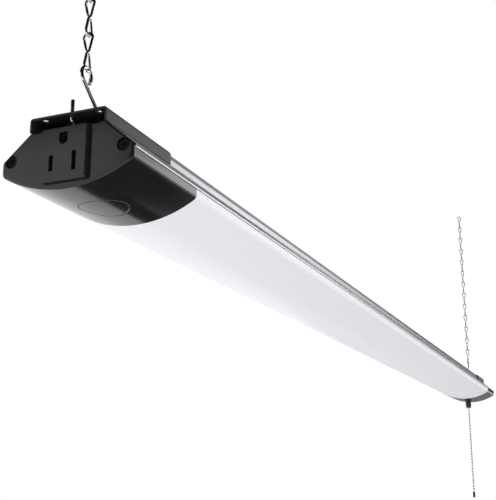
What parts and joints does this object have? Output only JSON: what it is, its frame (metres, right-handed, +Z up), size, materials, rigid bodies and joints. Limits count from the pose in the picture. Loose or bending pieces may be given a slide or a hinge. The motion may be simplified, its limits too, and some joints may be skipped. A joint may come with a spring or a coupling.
{
  "type": "hanging shop light",
  "caption": "Linear shop light with a curved milky lens, black end caps, a front outlet, a pull chain switch, and wire hooks on two ceiling chains",
  "frame": {"origin": "Midway between the two points from which the chains hang, at the centre of the wire in the top links' upper loops", "axes": "+Z up; +Y along the light, from the end with the outlet to the end with the pull switch; +X across the light, to the right of someone who faces the outlet"},
  "size_m": [0.0732, 1.2045, 0.4749],
  "materials": {
    "white_metal": "satin white powder coat",
    "rail_metal": "extruded, satin",
    "zinc": "zinc plated",
    "lens": "milky polycarbonate, satin",
    "black_gloss": "polished black moulding",
    "black_screw": "black oxide",
    "black_paint": "semi-gloss black paint",
    "bright_wire": "bright plated",
    "black_matte": "fine matte",
    "brass": "bare",
    "board_white": "white solder mask",
    "led_phosphor": "phosphor gel",
    "board_green": "green solder mask",
    "tape_yellow": "wound core with yellow tape",
    "copper_wire": "enamelled copper winding",
    "wire_black": "PVC insulation",
    "ivory_plastic": "moulded"
  },
  "bodies": {
    "top_links": {"near_top_link": "bright_wire", "far_top_link": "bright_wire"},
    "second_links": {"near_second_link": "bright_wire", "far_second_link": "bright_wire"},
    "near_strand": {"near_chain": "bright_wire"},
    "far_strand": {"far_chain": "bright_wire"},
    "last_links": {"near_last_link": "bright_wire", "far_last_link": "bright_wire"},
    "light": {"housing": "white_metal", "hanging_rail": "rail_metal", "rail_rivets": "zinc", "diffuser": "lens", "near_end_cap": "black_gloss", "far_end_cap": "black_gloss", "cap_screws": "black_screw", "near_bracket": "black_paint", "far_bracket": "black_paint", "bracket_screws": "black_screw", "bracket_nuts": "zinc", "near_hook": "bright_wire", "far_hook": "bright_wire", "outlet_face": "black_gloss", "outlet_body": "black_matte", "hot_contact": "brass", "neutral_contact": "zinc", "ground_contact": "brass", "led_boards": "board_white", "leds": "led_phosphor", "driver_tray": "black_matte", "driver_board": "board_green", "driver_transformer": "tape_yellow", "driver_capacitors": "black_matte", "driver_choke": "copper_wire", "terminal_block": "board_white", "outlet_wires": "wire_black", "switch_wires": "wire_black", "switch_body": "ivory_plastic", "switch_nozzle": "bright_wire", "nozzle_nut": "black_matte", "supply_bushing": "black_matte", "bushing_nut": "black_matte"},
    "plunger": {"switch_plunger": "bright_wire"},
    "first_bead": {"top_bead": "bright_wire"},
    "pull_chain": {"bead_chain": "bright_wire", "pull_end": "black_screw"}
  },
  "joints": [
    {"name": "sideways_swing", "type": "hinge", "parent": "top_links", "child": "second_links", "pos_m": [0, 0, -0.0195], "axis": [0, 1, 0], "range_deg": [-15, 15]},
    {"name": "near_lengthwise_swing", "type": "hinge", "parent": "second_links", "child": "near_strand", "pos_m": [0, -0.586, -0.04055], "axis": [1, 0, 0], "range_deg": [-12, 12]},
    {"name": "far_lengthwise_swing", "type": "hinge", "parent": "second_links", "child": "far_strand", "pos_m": [0, 0.586, -0.04055], "axis": [1, 0, 0], "range_deg": [-12.5, 12.5]},
    {"name": "level_keeping", "type": "hinge", "parent": "near_strand", "child": "last_links", "pos_m": [0, -0.586, -0.23555], "axis": [1, 0, 0], "range_deg": [-12.5, 12.5]},
    {"name": "roll_on_hooks", "type": "hinge", "parent": "last_links", "child": "light", "pos_m": [0, 0, -0.2532], "axis": [0, 1, 0], "range_deg": [-20, 20]},
    {"name": "pull_switch", "type": "slide", "parent": "light", "child": "plunger", "axis": [0, 0, -1], "range_m": [0, 0.008], "stiffness_N_per_m": 300},
    {"name": "pull_swing_lengthwise", "type": "hinge", "parent": "plunger", "child": "first_bead", "pos_m": [0, 0.56, -0.3354], "axis": [1, 0, 0], "range_deg": [-30, 30]},
    {"name": "pull_swing_sideways", "type": "hinge", "parent": "first_bead", "child": "pull_chain", "pos_m": [0, 0.56, -0.3399], "axis": [0, 1, 0], "range_deg": [-30, 30]}
  ],
  "couplings": [
    {"joint": "far_lengthwise_swing", "follows": "near_lengthwise_swing", "ratio": 1},
    {"joint": "level_keeping", "follows": "near_lengthwise_swing", "ratio": -1}
  ]
}
